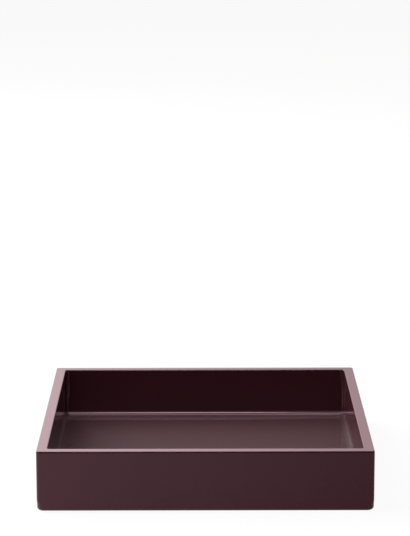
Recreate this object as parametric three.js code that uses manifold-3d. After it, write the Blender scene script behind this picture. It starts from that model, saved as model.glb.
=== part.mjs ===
// A small square lacquer tray, 190 x 190 mm with walls 35 mm high, open at the top.
// Four fibreboard walls meet in splined mitres over a stepped base panel, whose lip is let into a
// rebate under them. Coves of filler round off the inside corners, plum lacquer covers the boards
// and the filler, and four felt pads under the panel carry the tray.
// Millimetres. X runs to the right, Y to the back and Z up, from the table under the tray's centre.

import * as THREE from 'three';
import { mergeVertices, toCreasedNormals } from 'three/addons/utils/BufferGeometryUtils.js';
import Module from 'manifold-3d';

const wasm = await Module();
wasm.setup();

// Walls, measured over the lacquer
const TRAY_WIDTH = 190;
const TRAY_DEPTH = 190;
const WALL_HEIGHT = 35;
const WALL_THICKNESS = 6;
const RIM_EDGE_RADIUS = 0.5;

// Outside corners: a slim arris that swells into a rounder one where the foot was sanded off
const CORNER_RADIUS = 2;
const FOOT_CORNER_RADIUS = 4;
const FOOT_CORNER_RISE = 5;
const FOOT_EDGE_RADIUS = 2;

// Base panel. A step round its top leaves a lip, which is glued into a rebate in the walls from
// below, and gives the filler a square edge to end against
const PANEL_THICKNESS = 4;
const PANEL_RECESS = 1;
const PANEL_STEP = 1;
const REBATE_DEPTH = 3;
const PANEL_CLEARANCE = 0.2;

// Coves of filler in the inside corners
const FLOOR_COVE_RADIUS = 3;
const CORNER_COVE_RADIUS = 2;

// Loose splines, glued into slots across the mitres
const SPLINE_THICKNESS = 1.5;
const SPLINE_WIDTH = 4.4;
const SPLINE_INSET = 2;
const SPLINE_END_MARGIN = 4;
const SPLINE_CLEARANCE = 0.1;

// Felt pads, thicker than the panel's recess so that the walls stand clear of the table
const PAD_DIAMETER = 14;
const PAD_THICKNESS = 1.5;
const PAD_INSET = 22;
const PAD_EDGE_RADIUS = 0.3;

// Fineness of the curved surfaces
const CORNER_STEPS = 8;
const EDGE_STEPS = 6;
const COVE_STEPS = 8;
const FOOT_CORNER_STEPS = 4;
const PAD_SIDES = 48;
const PAD_EDGE_STEPS = 3;
const LEAST_RADIUS = 0.1;
const CREASE_ANGLE = THREE.MathUtils.degToRad(30);

// How far a cutting solid runs past what it cuts
const OVERRUN = 5;

// Heights and half sizes that follow from these
const QUARTER_TURN = Math.PI / 2;
const halfWidth = TRAY_WIDTH / 2;
const halfDepth = TRAY_DEPTH / 2;
const wallFoot = PAD_THICKNESS - PANEL_RECESS;
const rim = wallFoot + WALL_HEIGHT;
const floorTop = PAD_THICKNESS + PANEL_THICKNESS;
const lipTop = floorTop - PANEL_STEP;
const coveTop = floorTop + FLOOR_COVE_RADIUS;
const wellHalfWidth = halfWidth - WALL_THICKNESS;
const wellHalfDepth = halfDepth - WALL_THICKNESS;
const rebateHalfWidth = wellHalfWidth + REBATE_DEPTH;
const rebateHalfDepth = wellHalfDepth + REBATE_DEPTH;

const SIDES = ['front', 'right', 'back', 'left'];
const CORNERS = [
  { name: 'front_left', x: -1, y: -1 },
  { name: 'front_right', x: 1, y: -1 },
  { name: 'back_right', x: 1, y: 1 },
  { name: 'back_left', x: -1, y: 1 },
];

// Finishes

const lacquer = () => new THREE.MeshStandardMaterial({ color: 0x3f222a, roughness: 0.2, metalness: 0 });
const beech = () => new THREE.MeshStandardMaterial({ color: 0xb98d5f, roughness: 0.7, metalness: 0 });
const felt = () => new THREE.MeshStandardMaterial({ color: 0x1d1a1b, roughness: 1, metalness: 0 });

// Solids for joining and cutting

function toSolid(geometry) {
  const bare = geometry.clone();
  bare.deleteAttribute('normal');
  bare.deleteAttribute('uv');
  const merged = mergeVertices(bare);
  return new wasm.Manifold(new wasm.Mesh({
    numProp: 3,
    vertProperties: new Float32Array(merged.attributes.position.array),
    triVerts: new Uint32Array(merged.index.array),
  }));
}

function toMesh(name, solid, material) {
  const { vertProperties, triVerts } = solid.getMesh();
  const geometry = new THREE.BufferGeometry();
  geometry.setAttribute('position', new THREE.BufferAttribute(vertProperties, 3));
  geometry.setIndex(new THREE.BufferAttribute(triVerts, 1));
  const mesh = new THREE.Mesh(toCreasedNormals(geometry, CREASE_ANGLE), material);
  mesh.name = name;
  return mesh;
}

// A block between two heights, centred on the tray
function slab(sizeX, sizeY, bottom, top) {
  const geometry = new THREE.BoxGeometry(sizeX, sizeY, top - bottom);
  return toSolid(geometry.translate(0, 0, (bottom + top) / 2));
}

// A level of a loft: its height, how far its outline stands out, and the radius of its corners
function level(z, grow, cornerRadius) {
  return { z, grow, radius: Math.max(cornerRadius + grow, LEAST_RADIUS) };
}

// The outline of a level, anticlockwise, with as many points at any size
function roundedOutline(halfX, halfY, { z, grow, radius }) {
  const quadrants = [[1, 1], [-1, 1], [-1, -1], [1, -1]];
  return quadrants.flatMap(([sideX, sideY], quadrant) =>
    Array.from({ length: CORNER_STEPS + 1 }, (_, step) => {
      const angle = (quadrant + step / CORNER_STEPS) * QUARTER_TURN;
      return [
        sideX * (halfX + grow - radius) + radius * Math.cos(angle),
        sideY * (halfY + grow - radius) + radius * Math.sin(angle),
        z,
      ];
    }));
}

// A solid lofted through the outlines of its levels, from the bottom up
function loft(halfX, halfY, levels) {
  const rings = levels.map((each) => roundedOutline(halfX, halfY, each));
  const count = rings[0].length;
  const last = (rings.length - 1) * count;
  const index = [];
  for (let ring = 0; ring < rings.length - 1; ring++) {
    for (let k = 0; k < count; k++) {
      const a = ring * count + k;
      const b = ring * count + (k + 1) % count;
      index.push(a, b, b + count, a, b + count, a + count);
    }
  }
  for (let k = 1; k < count - 1; k++) {
    index.push(0, k + 1, k);
    index.push(last, last + k, last + k + 1);
  }
  const geometry = new THREE.BufferGeometry();
  geometry.setAttribute('position', new THREE.Float32BufferAttribute(rings.flat(2), 3));
  geometry.setIndex(index);
  return toSolid(geometry);
}

// Levels of a quarter round at the bottom of a loft, widening from the underside to the full outline
function quarterRoundUp(bottom, radius, steps, cornerRadius) {
  return Array.from({ length: steps + 1 }, (_, step) => {
    const angle = step / steps * QUARTER_TURN;
    return level(bottom + radius * (1 - Math.cos(angle)), -radius * (1 - Math.sin(angle)), cornerRadius);
  });
}

// Levels of a quarter round at the rim: direction -1 draws the outline in, 1 flares it out
function quarterRoundRim(direction, cornerRadius) {
  return Array.from({ length: EDGE_STEPS + 1 }, (_, step) => {
    const angle = step / EDGE_STEPS * QUARTER_TURN;
    return level(
      rim - RIM_EDGE_RADIUS * (1 - Math.sin(angle)),
      direction * RIM_EDGE_RADIUS * (1 - Math.cos(angle)),
      cornerRadius,
    );
  });
}

// Levels above the foot, where the corners ease from the round foot to the slim arris
function footCornerEase() {
  return Array.from({ length: FOOT_CORNER_STEPS }, (_, step) => {
    const share = (step + 1) / FOOT_CORNER_STEPS;
    const z = wallFoot + FOOT_EDGE_RADIUS + share * FOOT_CORNER_RISE;
    const ease = THREE.MathUtils.smoothstep(share, 0, 1);
    return level(z, 0, THREE.MathUtils.lerp(FOOT_CORNER_RADIUS, CORNER_RADIUS, ease));
  });
}

// The block that the tray would be if it were solid, with its eased outside edges
const outerBlock = loft(halfWidth, halfDepth, [
  ...quarterRoundUp(wallFoot, FOOT_EDGE_RADIUS, EDGE_STEPS, FOOT_CORNER_RADIUS),
  ...footCornerEase(),
  ...quarterRoundRim(-1, CORNER_RADIUS),
]);

// The outline of the flat floor, between the feet of the coves, at a given height
function fieldLevel(z) {
  return level(z, -FLOOR_COVE_RADIUS, CORNER_COVE_RADIUS);
}

// The well as it is seen, coved along the floor and up the corners, with an eased rim. It takes in
// the panel's raised field, so that what is left of the room is the filler
const well = loft(wellHalfWidth, wellHalfDepth, [
  fieldLevel(lipTop - OVERRUN),
  ...quarterRoundUp(floorTop, FLOOR_COVE_RADIUS, COVE_STEPS, CORNER_COVE_RADIUS),
  ...quarterRoundRim(1, CORNER_COVE_RADIUS),
  level(rim + OVERRUN, RIM_EDGE_RADIUS, CORNER_COVE_RADIUS),
]);

// The square-cornered room between the bare boards, before the coves are filled in
const boardRoom = slab(2 * wellHalfWidth, 2 * wellHalfDepth, lipTop, rim);

// The share of the tray that belongs to one side: a wedge bounded by its two mitres
function mitredSide(side) {
  const facesY = side === 'front' || side === 'back';
  const along = facesY ? halfWidth : halfDepth;
  const away = facesY ? halfDepth : halfWidth;
  const reach = WALL_THICKNESS + FLOOR_COVE_RADIUS + OVERRUN;
  const wedge = new THREE.Shape([
    new THREE.Vector2(-along - OVERRUN, -away - OVERRUN),
    new THREE.Vector2(along + OVERRUN, -away - OVERRUN),
    new THREE.Vector2(along - reach, -away + reach),
    new THREE.Vector2(-along + reach, -away + reach),
  ]);
  const geometry = new THREE.ExtrudeGeometry(wedge, { depth: rim + 2 * OVERRUN, bevelEnabled: false });
  geometry.translate(0, 0, -OVERRUN);
  return toSolid(geometry.rotateZ(SIDES.indexOf(side) * QUARTER_TURN));
}

// Splines: one across each mitre, near the inside face, stopped short of the floor and the rim
const splineBottom = floorTop + SPLINE_END_MARGIN;
const splineTop = rim - SPLINE_END_MARGIN;

function splineGeometry(clearance) {
  return new THREE.BoxGeometry(
    SPLINE_THICKNESS + 2 * clearance,
    SPLINE_WIDTH + 2 * clearance,
    splineTop - splineBottom + 2 * clearance,
  );
}

function placeSpline(object, corner) {
  object.rotation.z = corner.x * corner.y * Math.PI / 4;
  object.position.set(
    corner.x * (wellHalfWidth + SPLINE_INSET),
    corner.y * (wellHalfDepth + SPLINE_INSET),
    (splineBottom + splineTop) / 2,
  );
  return object;
}

function splineSlot(corner) {
  const place = placeSpline(new THREE.Object3D(), corner);
  place.updateMatrix();
  return toSolid(splineGeometry(SPLINE_CLEARANCE).applyMatrix4(place.matrix));
}

function cornerSpline(corner) {
  const mesh = new THREE.Mesh(splineGeometry(0), beech());
  mesh.name = 'corner_spline_' + corner.name;
  return placeSpline(mesh, corner);
}

// Walls: the block, less the room, the rebate for the lip and the slots, sawn apart at the mitres
const rebate = slab(2 * rebateHalfWidth, 2 * rebateHalfDepth, -OVERRUN, lipTop);
const slots = CORNERS.map(splineSlot);
const walls = [boardRoom, well, rebate, ...slots].reduce((solid, cut) => solid.subtract(cut), outerBlock);

function wall(side) {
  return toMesh(side + '_wall', walls.intersect(mitredSide(side)), lacquer());
}

// Base panel: it closes the tray from below and lies a little above the foot of the walls
function basePanel() {
  const lipLevel = (z) => ({ z, grow: REBATE_DEPTH - PANEL_CLEARANCE, radius: LEAST_RADIUS });
  const levels = [lipLevel(PAD_THICKNESS), lipLevel(lipTop), fieldLevel(lipTop), fieldLevel(floorTop)];
  return toMesh('base_panel', loft(wellHalfWidth, wellHalfDepth, levels), lacquer());
}

// Coves: what fills the room between the boards and the well that is seen
const filler = boardRoom.subtract(well);
const floorFiller = filler.intersect(slab(TRAY_WIDTH, TRAY_DEPTH, lipTop - OVERRUN, coveTop));
const cornerFiller = filler.intersect(slab(TRAY_WIDTH, TRAY_DEPTH, coveTop, rim));

function floorCove(side) {
  return toMesh('floor_cove_' + side, floorFiller.intersect(mitredSide(side)), lacquer());
}

function cornerCove(corner) {
  const quarter = new THREE.BoxGeometry(halfWidth, halfDepth, rim);
  quarter.translate(corner.x * halfWidth / 2, corner.y * halfDepth / 2, rim / 2);
  return toMesh('corner_cove_' + corner.name, cornerFiller.intersect(toSolid(quarter)), lacquer());
}

// Felt pads: a disc stuck under each corner of the panel, with its lower edge rounded
function feltPad(corner) {
  const radius = PAD_DIAMETER / 2;
  const profile = new THREE.Path();
  profile.moveTo(0, 0);
  profile.lineTo(radius - PAD_EDGE_RADIUS, 0);
  profile.absarc(radius - PAD_EDGE_RADIUS, PAD_EDGE_RADIUS, PAD_EDGE_RADIUS, -QUARTER_TURN, 0, false);
  profile.lineTo(radius, PAD_THICKNESS);
  profile.lineTo(0, PAD_THICKNESS);
  const geometry = new THREE.LatheGeometry(profile.getPoints(PAD_EDGE_STEPS), PAD_SIDES);
  const mesh = new THREE.Mesh(geometry.rotateX(QUARTER_TURN), felt());
  mesh.name = 'felt_pad_' + corner.name;
  mesh.position.set(corner.x * (halfWidth - PAD_INSET), corner.y * (halfDepth - PAD_INSET), 0);
  return mesh;
}

// The tray, from the table up
const tray = new THREE.Group();
tray.name = 'lacquer_tray';
tray.add(
  ...CORNERS.map(feltPad),
  basePanel(),
  ...SIDES.map(wall),
  ...CORNERS.map(cornerSpline),
  ...SIDES.map(floorCove),
  ...CORNERS.map(cornerCove),
);

export default tray;
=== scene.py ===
import math

import bpy
from mathutils import Euler, Matrix, Vector, noise


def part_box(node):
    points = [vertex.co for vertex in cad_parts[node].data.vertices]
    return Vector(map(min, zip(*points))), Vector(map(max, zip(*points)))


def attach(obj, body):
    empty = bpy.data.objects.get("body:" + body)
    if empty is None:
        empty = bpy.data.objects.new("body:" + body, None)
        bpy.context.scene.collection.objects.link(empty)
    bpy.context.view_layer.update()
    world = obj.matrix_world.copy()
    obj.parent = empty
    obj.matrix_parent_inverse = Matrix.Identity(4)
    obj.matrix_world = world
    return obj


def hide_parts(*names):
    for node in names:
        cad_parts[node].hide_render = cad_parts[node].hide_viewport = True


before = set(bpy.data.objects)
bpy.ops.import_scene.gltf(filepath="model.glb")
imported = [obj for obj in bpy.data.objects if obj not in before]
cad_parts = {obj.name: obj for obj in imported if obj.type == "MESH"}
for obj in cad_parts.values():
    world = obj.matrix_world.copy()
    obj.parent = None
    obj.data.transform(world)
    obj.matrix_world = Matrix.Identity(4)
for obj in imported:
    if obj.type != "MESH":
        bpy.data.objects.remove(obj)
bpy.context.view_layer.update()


# Felt pads. Four discs punched from self-adhesive pressed wool felt, stuck under the corners of the
# base. The punch leaves a slightly ragged edge, and the fibres stand out all over.

CORNERS = ["front_left", "front_right", "back_right", "back_left"]
PAD_SIDES = 96
PAD_RINGS = 14
PAD_EDGE_STEPS = 4
PAD_EDGE_SHARE = 0.2
PAD_WAIST_SHARE = 0.6
PAD_RAGGED = 0.00018
PAD_PILE = 0.00006
RAGGED_GRAIN = 2500
RAGGED_POWER = 6
PILE_GRAIN = 1800

# Most of a noise texture's values lie between these two
NOISE_LOW = 0.3
NOISE_HIGH = 0.7


def new_material(name, **constants):
    material = bpy.data.materials.new(name)
    material.use_nodes = True
    shader = material.node_tree.nodes["Principled BSDF"]
    for socket, value in constants.items():
        shader.inputs[socket.replace("_", " ")].default_value = value
    return material, material.node_tree, shader


def add_node(tree, kind, **settings):
    node = tree.nodes.new(kind)
    for name, value in settings.items():
        if name in node.inputs:
            node.inputs[name].default_value = value
        else:
            setattr(node, name, value)
    return node


def add_range(tree, from_low, from_high, to_low=0.0, to_high=1.0):
    node = tree.nodes.new("ShaderNodeMapRange")
    node.inputs["From Min"].default_value = from_low
    node.inputs["From Max"].default_value = from_high
    node.inputs["To Min"].default_value = to_low
    node.inputs["To Max"].default_value = to_high
    return node


def new_group(name, inputs, outputs):
    tree = bpy.data.node_groups.new(name, "ShaderNodeTree")
    for label, kind, value in inputs:
        socket = tree.interface.new_socket(label, in_out="INPUT", socket_type=kind)
        socket.default_value = value
    for label, kind in outputs:
        tree.interface.new_socket(label, in_out="OUTPUT", socket_type=kind)
    return tree, tree.nodes.new("NodeGroupInput"), tree.nodes.new("NodeGroupOutput")


def place_group(tree, group, **values):
    node = tree.nodes.new("ShaderNodeGroup")
    node.node_tree = group
    for label, value in values.items():
        node.inputs[label.replace("_", " ")].default_value = value
    return node


# Fibres: drawn-out noise in the object's own metres, as a tone from dark to light and as a height
FIBRES, fibres_in, fibres_out = new_group(
    "fibres",
    [
        ("Light", "NodeSocketColor", (0.8, 0.8, 0.8, 1)),
        ("Dark", "NodeSocketColor", (0.1, 0.1, 0.1, 1)),
        ("Density", "NodeSocketFloat", 1500),
        ("Stretch", "NodeSocketVector", (1, 1, 1)),
    ],
    [("Color", "NodeSocketColor"), ("Height", "NodeSocketFloat")],
)
fibres_place = add_node(FIBRES, "ShaderNodeTexCoord")
fibres_pull = add_node(FIBRES, "ShaderNodeVectorMath", operation="MULTIPLY")
fibres_fine = add_node(FIBRES, "ShaderNodeTexNoise", Detail=5, Roughness=0.65, Distortion=1.2)
fibres_tone = add_range(FIBRES, NOISE_LOW, NOISE_HIGH)
fibres_mix = add_node(FIBRES, "ShaderNodeMix", data_type="RGBA")
FIBRES.links.new(fibres_place.outputs["Object"], fibres_pull.inputs[0])
FIBRES.links.new(fibres_in.outputs["Stretch"], fibres_pull.inputs[1])
FIBRES.links.new(fibres_pull.outputs["Vector"], fibres_fine.inputs["Vector"])
FIBRES.links.new(fibres_in.outputs["Density"], fibres_fine.inputs["Scale"])
FIBRES.links.new(fibres_fine.outputs["Fac"], fibres_tone.inputs["Value"])
FIBRES.links.new(fibres_tone.outputs["Result"], fibres_mix.inputs["Factor"])
FIBRES.links.new(fibres_in.outputs["Dark"], fibres_mix.inputs["A"])
FIBRES.links.new(fibres_in.outputs["Light"], fibres_mix.inputs["B"])
FIBRES.links.new(fibres_mix.outputs["Result"], fibres_out.inputs["Color"])
FIBRES.links.new(fibres_tone.outputs["Result"], fibres_out.inputs["Height"])

felt, felt_tree, felt_shader = new_material(
    "pressed_wool_felt", Roughness=1.0, Specular_IOR_Level=0.1, Sheen_Weight=0.35, Sheen_Roughness=0.6
)
felt_fibres = place_group(
    felt_tree, FIBRES, Light=(0.035, 0.03, 0.031, 1), Dark=(0.006, 0.005, 0.006, 1), Density=2600
)
felt_bump = add_node(felt_tree, "ShaderNodeBump", Strength=0.9, Distance=0.0002)
felt_tree.links.new(felt_fibres.outputs["Color"], felt_shader.inputs["Base Color"])
felt_tree.links.new(felt_fibres.outputs["Height"], felt_bump.inputs["Height"])
felt_tree.links.new(felt_bump.outputs["Normal"], felt_shader.inputs["Normal"])


def new_piece(name, points, faces, material, slot, *nodes):
    mesh = bpy.data.meshes.new(name)
    mesh.from_pydata(points, [], faces)
    mesh.validate()
    mesh.materials.append(material)
    mesh.polygons.foreach_set("use_smooth", [True] * len(mesh.polygons))
    piece = bpy.data.objects.new(name, mesh)
    bpy.context.scene.collection.objects.link(piece)
    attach(piece, "root")
    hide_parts(*nodes)
    return piece


def quarter(steps):
    """The angles from 0 to 90 degrees, in equal steps."""
    return [math.pi / 2 * step / steps for step in range(steps + 1)]


def grain(spot, scale):
    """Noise from 0 to 1."""
    return 0.5 + 0.5 * noise.noise(spot * scale)


def felt_disc(corner):
    low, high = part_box("felt_pad_" + corner)
    middle = (low + high) / 2
    radius = (high.x - low.x) / 2
    thickness = high.z - low.z
    edge = thickness * PAD_EDGE_SHARE
    section = [(radius * ring / PAD_RINGS, 0.0) for ring in range(1, PAD_RINGS)]
    for angle in quarter(PAD_EDGE_STEPS):
        section.append((radius - edge * (1 - math.sin(angle)), edge * (1 - math.cos(angle))))
    section += [(radius, thickness * PAD_WAIST_SHARE), (radius, thickness)]
    points = [(middle.x, middle.y, low.z + PAD_PILE)]
    for r, z in section:
        for side in range(PAD_SIDES):
            angle = 2 * math.pi * side / PAD_SIDES
            across = Vector((math.cos(angle), math.sin(angle), 0))
            spot = Vector((middle.x, middle.y, low.z + z)) + across * r
            ragged = PAD_RAGGED * grain(spot, RAGGED_GRAIN) * (r / radius) ** RAGGED_POWER
            pile = PAD_PILE * grain(spot, PILE_GRAIN) if z < edge else 0
            points.append(spot - across * ragged + Vector((0, 0, pile)))
    points.append((middle.x, middle.y, high.z))
    faces = [(0, 1 + (side + 1) % PAD_SIDES, 1 + side) for side in range(PAD_SIDES)]
    for ring in range(len(section) - 1):
        for side in range(PAD_SIDES):
            a = 1 + ring * PAD_SIDES + side
            b = 1 + ring * PAD_SIDES + (side + 1) % PAD_SIDES
            faces.append((a, b, b + PAD_SIDES, a + PAD_SIDES))
    first = 1 + (len(section) - 1) * PAD_SIDES
    faces += [(first + side, first + (side + 1) % PAD_SIDES, len(points) - 1) for side in range(PAD_SIDES)]
    new_piece("felt_disc_" + corner, points, faces, felt, "black_felt", "felt_pad_" + corner)


for corner in CORNERS:
    felt_disc(corner)


# Base panel. A square of thin fibreboard with a step round its top. The lip is glued up into the
# rebate from below, and the raised field, lacquered with the rest, is the floor of the tray, hazed
# by use. The underside got fewer coats and is duller.

PLUM = (0.0345, 0.0066, 0.0105, 1)
CLOUD_DEPTH = 0.06
PEEL_DEPTH = 0.00002
PANEL_ARRIS = 0.0003
ARRIS_STEPS = 6
FACES_DOWN = -0.5

# Lacquer tone: broad, barely visible clouds in the colour, and a fine unevenness in the gloss
LACQUER_TONE, tone_in, tone_out = new_group(
    "lacquer tone",
    [
        ("Color", "NodeSocketColor", PLUM),
        ("Mean Roughness", "NodeSocketFloat", 0.4),
        ("Spread", "NodeSocketFloat", 0.03),
    ],
    [("Color", "NodeSocketColor"), ("Roughness", "NodeSocketFloat"), ("Height", "NodeSocketFloat")],
)
tone_place = add_node(LACQUER_TONE, "ShaderNodeTexCoord")
tone_clouds = add_node(LACQUER_TONE, "ShaderNodeTexNoise", Scale=22, Detail=3, Roughness=0.5)
tone_specks = add_node(LACQUER_TONE, "ShaderNodeTexNoise", Scale=900, Detail=2, Roughness=0.5)
tone_peel = add_node(LACQUER_TONE, "ShaderNodeTexNoise", Scale=260, Detail=1, Roughness=0.4)
tone_depth = add_range(LACQUER_TONE, NOISE_LOW, NOISE_HIGH, 1 - CLOUD_DEPTH, 1 + CLOUD_DEPTH)
tone_scale = add_node(LACQUER_TONE, "ShaderNodeVectorMath", operation="SCALE")
tone_centre = add_node(LACQUER_TONE, "ShaderNodeMath", operation="SUBTRACT")
tone_centre.inputs[1].default_value = 0.5
tone_rough = add_node(LACQUER_TONE, "ShaderNodeMath", operation="MULTIPLY_ADD")
for texture in (tone_clouds, tone_specks, tone_peel):
    LACQUER_TONE.links.new(tone_place.outputs["Object"], texture.inputs["Vector"])
LACQUER_TONE.links.new(tone_clouds.outputs["Fac"], tone_depth.inputs["Value"])
LACQUER_TONE.links.new(tone_in.outputs["Color"], tone_scale.inputs[0])
LACQUER_TONE.links.new(tone_depth.outputs["Result"], tone_scale.inputs["Scale"])
LACQUER_TONE.links.new(tone_scale.outputs["Vector"], tone_out.inputs["Color"])
LACQUER_TONE.links.new(tone_specks.outputs["Fac"], tone_centre.inputs[0])
LACQUER_TONE.links.new(tone_centre.outputs[0], tone_rough.inputs[0])
LACQUER_TONE.links.new(tone_in.outputs["Spread"], tone_rough.inputs[1])
LACQUER_TONE.links.new(tone_in.outputs["Mean Roughness"], tone_rough.inputs[2])
LACQUER_TONE.links.new(tone_rough.outputs[0], tone_out.inputs["Roughness"])
LACQUER_TONE.links.new(tone_peel.outputs["Fac"], tone_out.inputs["Height"])


def lacquer_material(name, roughness, spread, peel, **constants):
    material, tree, shader = new_material(name, **constants)
    tone = place_group(tree, LACQUER_TONE, Color=PLUM, Mean_Roughness=roughness, Spread=spread)
    bump = add_node(tree, "ShaderNodeBump", Strength=peel, Distance=PEEL_DEPTH)
    tree.links.new(tone.outputs["Color"], shader.inputs["Base Color"])
    tree.links.new(tone.outputs["Roughness"], shader.inputs["Roughness"])
    tree.links.new(tone.outputs["Height"], bump.inputs["Height"])
    tree.links.new(bump.outputs["Normal"], shader.inputs["Normal"])
    return material


# A rough coat over the gloss is the haze of fine scratches: a trace on the walls, more on the floor
LACQUER_SHEEN = {"IOR": 1.42, "Specular_Tint": (0.97, 0.6, 0.73, 1), "Coat_Roughness": 0.7, "Coat_IOR": 1.5}
lacquer = lacquer_material(
    "plum_lacquer", roughness=0.1, spread=0.02, peel=0.1, Coat_Weight=0.04, **LACQUER_SHEEN
)
rubbed_lacquer = lacquer_material(
    "plum_lacquer_rubbed", roughness=0.11, spread=0.03, peel=0.12, Coat_Weight=0.58, **LACQUER_SHEEN
)
dull_lacquer = lacquer_material("plum_lacquer_underside", roughness=0.5, spread=0.12, peel=0.6)

panel_low, panel_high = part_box("base_panel")
floor_top = panel_high.z
cove_low, cove_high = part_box("floor_cove_right")
lip_top = cove_low.z
well_half = cove_high.x
cove_radius = cove_high.z - floor_top
field_half = well_half - cove_radius

CORNER_STEPS = 32
QUADRANTS = [(1, 1), (-1, 1), (-1, -1), (1, -1)]

# The radius of a corner that is as good as square, so that every outline has as many points
SQUARE = 1e-7

# Points are merged on a grid of this pitch, and a face of less than this area is left out
SAME_SPOT = 1e-8
LEAST_AREA = 5e-14


def outline(reach, radius, z):
    """The points of a square with round corners, anticlockwise from the right-hand side."""
    points = []
    for quadrant, (side_x, side_y) in enumerate(QUADRANTS):
        for step in range(CORNER_STEPS + 1):
            angle = (quadrant + step / CORNER_STEPS) * math.pi / 2
            points.append(Vector((
                side_x * (reach - radius) + radius * math.cos(angle),
                side_y * (reach - radius) + radius * math.sin(angle),
                z,
            )))
    return points


def grid_normals(rows):
    """The normal at each point of a grid whose rows close on themselves, from its neighbours."""
    count = len(rows[0])
    normals = []
    for row in range(len(rows)):
        below = rows[max(row - 1, 0)]
        above = rows[min(row + 1, len(rows) - 1)]
        line = []
        for k in range(count):
            before = rows[row][(k - 1) % count]
            after = rows[row][(k + 1) % count]
            line.append((after - before).cross(above[k] - below[k]).normalized())
        normals.append(line)
    return normals


class Shell:
    """Gathers the faces of one closed piece, with the normal of each face corner."""

    def __init__(self):
        self.index = {}
        self.points = []
        self.faces = []
        self.normals = []

    def spot(self, point):
        key = tuple(round(c / SAME_SPOT) for c in point)
        if key not in self.index:
            self.index[key] = len(self.points)
            self.points.append(point)
        return self.index[key]

    def face(self, corners, normals=None):
        kept = []
        for number, corner in enumerate(corners):
            spot = self.spot(corner)
            if spot not in [k for k, _ in kept]:
                kept.append((spot, number))
        if len(kept) < 3:
            return
        ring = [self.points[k] for k, _ in kept]
        flat = sum((ring[i].cross(ring[(i + 1) % len(ring)]) for i in range(len(ring))), Vector())
        if flat.length / 2 < LEAST_AREA:
            return
        flat.normalize()
        self.faces.append([k for k, _ in kept])
        self.normals += [normals[n] if normals else flat for _, n in kept]

    def strip(self, rows, path, normals=None):
        """The faces between neighbouring rows of a grid, along part of its rows."""
        for row in range(len(rows) - 1):
            for a, b in zip(path, path[1:]):
                corners = [rows[row][a], rows[row][b], rows[row + 1][b], rows[row + 1][a]]
                shades = None
                if normals:
                    shades = [normals[row][a], normals[row][b], normals[row + 1][b], normals[row + 1][a]]
                self.face(corners, shades)

    def piece(self, name, material, slot, *nodes):
        made = new_piece(name, self.points, self.faces, material, slot, *nodes)
        made.data.normals_split_custom_set(self.normals)
        return made


def panel():
    reach = panel_high.x
    arris = []
    for angle in quarter(ARRIS_STEPS):
        drawn_in = PANEL_ARRIS * (1 - math.sin(angle))
        z = panel_low.z + PANEL_ARRIS * (1 - math.cos(angle))
        arris.append(outline(reach - drawn_in, PANEL_ARRIS - drawn_in + SQUARE, z))
    lip = outline(reach, PANEL_ARRIS + SQUARE, lip_top)
    field = [outline(field_half, SQUARE, z) for z in (lip_top, floor_top)]
    whole = list(range(len(lip))) + [0]
    shell = Shell()
    shell.face(list(reversed(arris[0])))
    shell.strip(arris, whole, grid_normals(arris))
    for rows in ([arris[-1], lip], [lip, field[0]], field):
        shell.strip(rows, whole)
    shell.face(field[1])
    return shell


lacquered_floor = panel().piece("lacquered_floor_panel", rubbed_lacquer, "plum_lacquer", "base_panel")
lacquered_floor.data.materials.append(dull_lacquer)
for polygon in lacquered_floor.data.polygons:
    polygon.material_index = int(polygon.normal.z < FACES_DOWN)


# Walls. Four boards of fibreboard with mitred ends, a rebate along the inner foot and eased arrises.
# They are glued, filled, sanded and sprayed as one frame, so that the lacquer runs over the mitres.
# The sanding leaves the outer face slightly crowned under a small arris.

RIM_EDGE = 0.0005
RIM_ARRIS = 0.0003
CROWN_HEIGHT = 0.0013
CROWN_LEAN = math.radians(12)
CROWN_STEPS = 8
FOOT_EDGE = 0.002
CORNER_RADIUS = 0.002
FOOT_CORNER = 0.004
FOOT_RISE = 0.005
REBATE_GAP = 0.0002
EDGE_STEPS = 16
FOOT_RISE_STEPS = 10

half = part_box("right_wall")[1].x
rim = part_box("front_wall")[1].z
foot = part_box("front_wall")[0].z
corner_low, corner_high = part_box("corner_cove_back_right")
corner_cove = corner_high.x - corner_low.x
rebate_half = panel_high.x + REBATE_GAP
SIDES = {"back": (0, 1), "left": (1, 2), "front": (2, 3), "right": (3, 0)}


def side_path(side, start=CORNER_STEPS // 2):
    """The stretch of an outline that belongs to one side, from mitre to mitre."""
    first, second = SIDES[side]
    count = CORNER_STEPS + 1
    return [first * count + k for k in range(start, count)] + [second * count + k for k in range(start + 1)]


def smoothstep(t):
    return t * t * (3 - 2 * t)


# The outer skin of the walls, from the foot up over the rim and down to the well
skin = []
for angle in quarter(EDGE_STEPS):
    drawn_in = FOOT_EDGE * (1 - math.sin(angle))
    skin.append(outline(half - drawn_in, FOOT_CORNER - drawn_in, foot + FOOT_EDGE * (1 - math.cos(angle))))
for step in range(1, FOOT_RISE_STEPS + 1):
    share = step / FOOT_RISE_STEPS
    radius = FOOT_CORNER + (CORNER_RADIUS - FOOT_CORNER) * smoothstep(share)
    skin.append(outline(half, radius, foot + FOOT_EDGE + share * FOOT_RISE))
crown_top = rim - RIM_ARRIS * (1 - math.sin(CROWN_LEAN))
crown_depth = CROWN_HEIGHT * math.tan(CROWN_LEAN) / 2
for step in range(CROWN_STEPS):
    share = step / CROWN_STEPS
    drawn_in = crown_depth * share ** 2
    skin.append(outline(half - drawn_in, CORNER_RADIUS - drawn_in, crown_top - CROWN_HEIGHT * (1 - share)))
for step in range(EDGE_STEPS + 1):
    angle = CROWN_LEAN + (math.pi / 2 - CROWN_LEAN) * step / EDGE_STEPS
    drawn_in = crown_depth + RIM_ARRIS * (math.cos(CROWN_LEAN) - math.cos(angle))
    skin.append(outline(half - drawn_in, CORNER_RADIUS - drawn_in, rim - RIM_ARRIS * (1 - math.sin(angle))))
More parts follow.
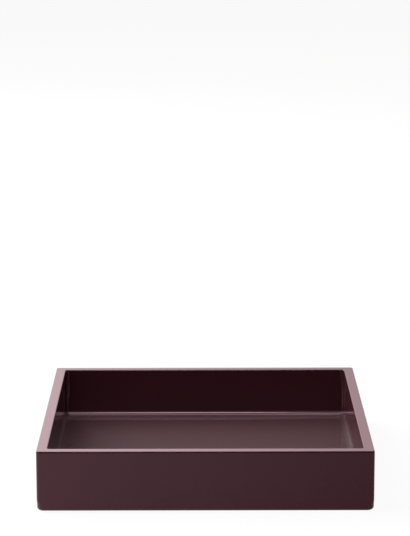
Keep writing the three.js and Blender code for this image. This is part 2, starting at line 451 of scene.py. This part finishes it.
for angle in reversed(quarter(EDGE_STEPS)):
    flared = RIM_EDGE * (1 - math.cos(angle))
    skin.append(outline(well_half + flared, corner_cove + flared, rim - RIM_EDGE * (1 - math.sin(angle))))
skin_normals = grid_normals(skin)

# The square faces that the skin leaves: under the rim, the inner face, the rebate and the foot
hidden = [
    [outline(well_half, corner_cove, rim - RIM_EDGE), outline(well_half, SQUARE, rim - RIM_EDGE)],
    [outline(well_half, SQUARE, rim - RIM_EDGE), outline(well_half, SQUARE, lip_top)],
    [outline(well_half, SQUARE, lip_top), outline(rebate_half, SQUARE, lip_top)],
    [outline(rebate_half, SQUARE, lip_top), outline(rebate_half, SQUARE, foot)],
    [outline(rebate_half, SQUARE, foot), skin[0]],
]

for side in SIDES:
    path = side_path(side)
    board = Shell()
    board.strip(skin, path, skin_normals)
    for rows in hidden:
        board.strip(rows, path)
    section = [*skin, *(rows[1] for rows in hidden[:-1])]
    board.face([row[path[0]] for row in section])
    board.face([row[path[-1]] for row in reversed(section)])
    board.piece("lacquered_" + side + "_wall", lacquer, "plum_lacquer", side + "_wall")


# Splines. Slips of beech, glued across each mitre before the frame was filled and sprayed. They
# are closed in on every side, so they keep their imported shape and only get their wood.

beech, beech_tree, beech_shader = new_material("beech", Roughness=0.62)
beech_fibres = place_group(
    beech_tree, FIBRES,
    Light=(0.62, 0.36, 0.18, 1), Dark=(0.36, 0.18, 0.08, 1), Density=900, Stretch=(1, 1, 0.08),
)
beech_bump = add_node(beech_tree, "ShaderNodeBump", Strength=0.3, Distance=0.00005)
beech_tree.links.new(beech_fibres.outputs["Color"], beech_shader.inputs["Base Color"])
beech_tree.links.new(beech_fibres.outputs["Height"], beech_bump.inputs["Height"])
beech_tree.links.new(beech_bump.outputs["Normal"], beech_shader.inputs["Normal"])

for corner in CORNERS:
    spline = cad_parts["corner_spline_" + corner]
    spline.data.materials.clear()
    spline.data.materials.append(beech)


# Floor coves. Filler drawn along the foot of each wall with a round scraper, sanded and lacquered
# over. It fills the step round the panel and meets the next one on the line of the mitre. Use has
# hazed it like the floor.

COVE_STEPS = 24
FLOOR_CORNER = 0.001

cove = []
for angle in quarter(COVE_STEPS):
    drawn_in = cove_radius * (1 - math.cos(angle))
    share = drawn_in / cove_radius
    radius = corner_cove + (FLOOR_CORNER - corner_cove) * share
    cove.append(outline(well_half - drawn_in, radius, floor_top + cove_radius * (1 - math.sin(angle))))
cove_normals = grid_normals(cove)
cove_hidden = [
    [cove[-1], outline(field_half, SQUARE, floor_top)],
    [outline(field_half, SQUARE, floor_top), outline(field_half, SQUARE, lip_top)],
    [outline(field_half, SQUARE, lip_top), outline(well_half, SQUARE, lip_top)],
    [outline(well_half, SQUARE, lip_top), outline(well_half, SQUARE, floor_top + cove_radius)],
    [outline(well_half, SQUARE, floor_top + cove_radius), cove[0]],
]

for side in SIDES:
    path = side_path(side)
    bead = Shell()
    bead.strip(cove, path, cove_normals)
    for rows in cove_hidden:
        bead.strip(rows, path)
    section = [*cove, *(rows[1] for rows in cove_hidden[:-1])]
    bead.face([row[path[0]] for row in section])
    bead.face([row[path[-1]] for row in reversed(section)])
    bead.piece("lacquered_floor_cove_" + side, rubbed_lacquer, "plum_lacquer", "floor_cove_" + side)


# Corner coves. The same filler, drawn up each inside corner with a smaller scraper, from the floor
# coves to just under the eased rim, and lacquered with the walls.

upright = [outline(well_half, corner_cove, z) for z in (rim - RIM_EDGE, floor_top + cove_radius)]
upright_normals = grid_normals(upright)
CORNER_QUADRANTS = {"front_left": 2, "front_right": 3, "back_right": 0, "back_left": 1}

for corner, quadrant in CORNER_QUADRANTS.items():
    count = CORNER_STEPS + 1
    path = list(range(quadrant * count, (quadrant + 1) * count))
    side_x, side_y = QUADRANTS[quadrant]
    top = Vector((side_x * well_half, side_y * well_half, upright[0][0].z))
    bottom = Vector((side_x * well_half, side_y * well_half, upright[1][0].z))
    bead = Shell()
    bead.strip(upright, path, upright_normals)
    bead.face([upright[0][path[0]], top, bottom, upright[1][path[0]]])
    bead.face([top, upright[0][path[-1]], upright[1][path[-1]], bottom])
    bead.face([top] + [upright[0][k] for k in reversed(path)])
    bead.face([bottom] + [upright[1][k] for k in path])
    bead.piece("lacquered_corner_cove_" + corner, lacquer, "plum_lacquer", "corner_cove_" + corner)


# Studio. A white table in a white surround. A large softbox on the left and a little behind is the
# key, strips far over the camera draw the bright lines along the coves, a board behind brightens the
# rim, and a low dark card stands at the front end of the table.

scene = bpy.context.scene
scene.view_settings.view_transform = "Standard"

TABLE_REACH = 6.0
TABLE_FRONT = -0.55
TABLE_GREY = 0.9
SHADOW_SHARE = 0.06

# The white table as the lacquer mirrors it, which falls off from left to right: painted light and shade in
# the reflections, the table glowing brighter than white on the left and dimmer on the right
MIRRORED_SHADOW_SHARE = 0.05
MIRRORED_LEFT = 1.33
MIRRORED_RIGHT = 0.62
MIRRORED_FADE = 0.1


def stage_sheet(name, points):
    mesh = bpy.data.meshes.new(name)
    mesh.from_pydata(points, [], [(0, 1, 2, 3)])
    sheet = bpy.data.objects.new(name, mesh)
    scene.collection.objects.link(sheet)
    return sheet


def seen_share(tree, share, mirrored):
    """A factor: the share for camera rays, the mirrored one for glossy and transmission rays, else 0."""
    path = add_node(tree, "ShaderNodeLightPath")
    either = add_node(tree, "ShaderNodeMath", operation="MAXIMUM")
    scale = add_node(tree, "ShaderNodeMath", operation="MULTIPLY")
    scale.inputs[1].default_value = mirrored
    both = add_node(tree, "ShaderNodeMath", operation="MULTIPLY_ADD")
    both.inputs[1].default_value = share
    tree.links.new(path.outputs["Is Glossy Ray"], either.inputs[0])
    tree.links.new(path.outputs["Is Transmission Ray"], either.inputs[1])
    tree.links.new(either.outputs[0], scale.inputs[0])
    tree.links.new(path.outputs["Is Camera Ray"], both.inputs[0])
    tree.links.new(scale.outputs[0], both.inputs[2])
    return both.outputs[0]


table = stage_sheet("table", [
    (-TABLE_REACH, TABLE_FRONT, 0), (TABLE_REACH, TABLE_FRONT, 0),
    (TABLE_REACH, TABLE_REACH, 0), (-TABLE_REACH, TABLE_REACH, 0),
])
table_material, table_tree, table_shader = new_material(
    "white_table", Roughness=0.9, Specular_IOR_Level=0.0
)
table_shader.inputs["Base Color"].default_value = (TABLE_GREY, TABLE_GREY, TABLE_GREY, 1)
table_white = add_node(table_tree, "ShaderNodeEmission")
table_white.inputs["Color"].default_value = (1, 1, 1, 1)
table_place = add_node(table_tree, "ShaderNodeTexCoord")
table_split = add_node(table_tree, "ShaderNodeSeparateXYZ")
# Painted reflection: for glossy rays the table's glow runs from the left strength down to the right one
# across the middle
painted_reflection_fall = add_range(table_tree, -MIRRORED_FADE, MIRRORED_FADE, MIRRORED_LEFT, MIRRORED_RIGHT)
table_path = add_node(table_tree, "ShaderNodeLightPath")
table_strength = add_node(table_tree, "ShaderNodeMix", data_type="FLOAT")
table_strength.inputs["B"].default_value = 1.0
table_choice = add_node(table_tree, "ShaderNodeMixShader")
table_tree.links.new(table_place.outputs["Object"], table_split.inputs[0])
table_tree.links.new(table_split.outputs["X"], painted_reflection_fall.inputs["Value"])
table_tree.links.new(table_path.outputs["Is Camera Ray"], table_strength.inputs["Factor"])
table_tree.links.new(painted_reflection_fall.outputs["Result"], table_strength.inputs["A"])
table_tree.links.new(table_strength.outputs["Result"], table_white.inputs["Strength"])
table_tree.links.new(
    seen_share(table_tree, 1 - SHADOW_SHARE, 1 - MIRRORED_SHADOW_SHARE), table_choice.inputs[0]
)
table_tree.links.new(table_shader.outputs[0], table_choice.inputs[1])
table_tree.links.new(table_white.outputs[0], table_choice.inputs[2])
table_tree.links.new(table_choice.outputs[0], table_tree.nodes["Material Output"].inputs["Surface"])
table.data.materials.append(table_material)

world = bpy.data.worlds.new("studio")
scene.world = world
world.use_nodes = True
white = world.node_tree.nodes["Background"]
white.inputs["Color"].default_value = (1, 1, 1, 1)
world.node_tree.links.new(seen_share(world.node_tree, 1.0, 1.0), white.inputs["Strength"])


def upright_sheet(name, half_width, y, foot_height, top_height):
    """A sheet across the picture, which the camera doesn't see."""
    sheet = stage_sheet(name, [
        (-half_width, y, foot_height), (half_width, y, foot_height),
        (half_width, y, top_height), (-half_width, y, top_height),
    ])
    sheet.visible_camera = False
    return sheet


CARD_HALF_WIDTH = 1.2
CARD_HEIGHT = 0.19
CARD_GREY = 0.01
card = upright_sheet("dark_card", CARD_HALF_WIDTH, TABLE_FRONT, 0, CARD_HEIGHT)
card_material, _, card_shader = new_material("dark_card", Roughness=1.0, Specular_IOR_Level=0.0)
card_shader.inputs["Base Color"].default_value = (CARD_GREY, CARD_GREY, CARD_GREY, 1)
card.data.materials.append(card_material)

# The board behind: bright on the left, dimmer on the right and lower down
BOARD_HALF_WIDTH = 0.9
BOARD_DISTANCE = 1.6
BOARD_FOOT = 0.28
BOARD_TOP = 0.66
BOARD_LEFT = (2.07, 1.65, 1.74, 1)
BOARD_RIGHT = (1.27, 1.0, 1.05, 1)
BOARD_FADE = 0.21
BOARD_DIM_HEIGHT = 0.38
BOARD_FULL_HEIGHT = 0.58
BOARD_DIM = 0.88
BOARD_FULL = 1.22
board = upright_sheet("back_board", BOARD_HALF_WIDTH, BOARD_DISTANCE, BOARD_FOOT, BOARD_TOP)
board_material = bpy.data.materials.new("back_board")
board_material.use_nodes = True
board_tree = board_material.node_tree
board_tree.nodes.remove(board_tree.nodes["Principled BSDF"])
board_glow = add_node(board_tree, "ShaderNodeEmission")
board_place = add_node(board_tree, "ShaderNodeTexCoord")
board_split = add_node(board_tree, "ShaderNodeSeparateXYZ")
board_share = add_range(board_tree, -BOARD_FADE, BOARD_FADE)
board_mix = add_node(board_tree, "ShaderNodeMix", data_type="RGBA")
board_mix.inputs["A"].default_value = BOARD_LEFT
board_mix.inputs["B"].default_value = BOARD_RIGHT
board_rise = add_range(board_tree, BOARD_DIM_HEIGHT, BOARD_FULL_HEIGHT, BOARD_DIM, BOARD_FULL)
board_tree.links.new(board_place.outputs["Object"], board_split.inputs[0])
board_tree.links.new(board_split.outputs["X"], board_share.inputs["Value"])
board_tree.links.new(board_split.outputs["Z"], board_rise.inputs["Value"])
board_tree.links.new(board_rise.outputs["Result"], board_glow.inputs["Strength"])
board_tree.links.new(board_share.outputs["Result"], board_mix.inputs["Factor"])
board_tree.links.new(board_mix.outputs["Result"], board_glow.inputs["Color"])
board_tree.links.new(board_glow.outputs[0], board_tree.nodes["Material Output"].inputs["Surface"])
board.data.materials.append(board_material)


def softbox(name, turn, rise, distance, width, height, brightness, shift=0.0):
    """A softbox turned to the left from the camera's side, raised, and moved right by its shift."""
    turned = math.radians(turn)
    raised = math.radians(rise)
    level = math.cos(raised)
    away = Vector((-math.sin(turned) * level, -math.cos(turned) * level, math.sin(raised)))
    lamp = bpy.data.lights.new(name, "AREA")
    lamp.shape = "RECTANGLE"
    lamp.size = width
    lamp.size_y = height
    lamp.energy = brightness * math.pi * width * height
    holder = bpy.data.objects.new(name, lamp)
    holder.location = away * distance + Vector((shift, 0, 0))
    holder.rotation_mode = "QUATERNION"
    holder.rotation_quaternion = (-away).to_track_quat("-Z", "Y")
    holder.visible_camera = False
    scene.collection.objects.link(holder)


softbox("key", turn=115, rise=28, distance=1.6, width=2.3, height=1.35, brightness=6.9)
softbox("top_left", turn=100, rise=64, distance=1.6, width=1.6, height=0.6, brightness=4)
softbox("strip_low", turn=0, rise=27, distance=4, width=0.5, height=0.42, brightness=4.9, shift=-0.055)
softbox("strip_middle", turn=0, rise=36, distance=4, width=0.5, height=0.84, brightness=20, shift=-0.055)
softbox("strip_right", turn=-9, rise=72, distance=4, width=0.4, height=1, brightness=8.7, shift=0.2)
softbox("overhead", turn=0, rise=90, distance=4, width=0.6, height=1.5, brightness=3.4, shift=-0.055)


# Camera. It stands where the photograph was taken from and looks down at the same angle. Its focal
# length was found in the picture's pixels, and is turned into millimetres here.

PICTURE_LONG_SIDE = 536
FOCAL_PIXELS = 2241
SENSOR_WIDTH = 36
CAMERA_PLACE = (-0.0022, -1.3013, 0.3915)
CAMERA_DIP = math.radians(11.76)
CAMERA_TURN = math.radians(-0.10)
CAMERA_ROLL = math.radians(-0.077)

camera_data = bpy.data.cameras.new("camera")
camera_data.sensor_width = SENSOR_WIDTH
camera_data.lens = FOCAL_PIXELS * camera_data.sensor_width / PICTURE_LONG_SIDE
camera_data.clip_start = 0.05
camera_data.clip_end = 50
camera = bpy.data.objects.new("camera", camera_data)
camera.location = CAMERA_PLACE
tilt = Euler((math.pi / 2 - CAMERA_DIP, 0, CAMERA_TURN)).to_matrix()
roll = Matrix.Rotation(CAMERA_ROLL, 3, "Z")
camera.rotation_euler = (tilt @ roll).to_euler()
scene.collection.objects.link(camera)
scene.camera = camera
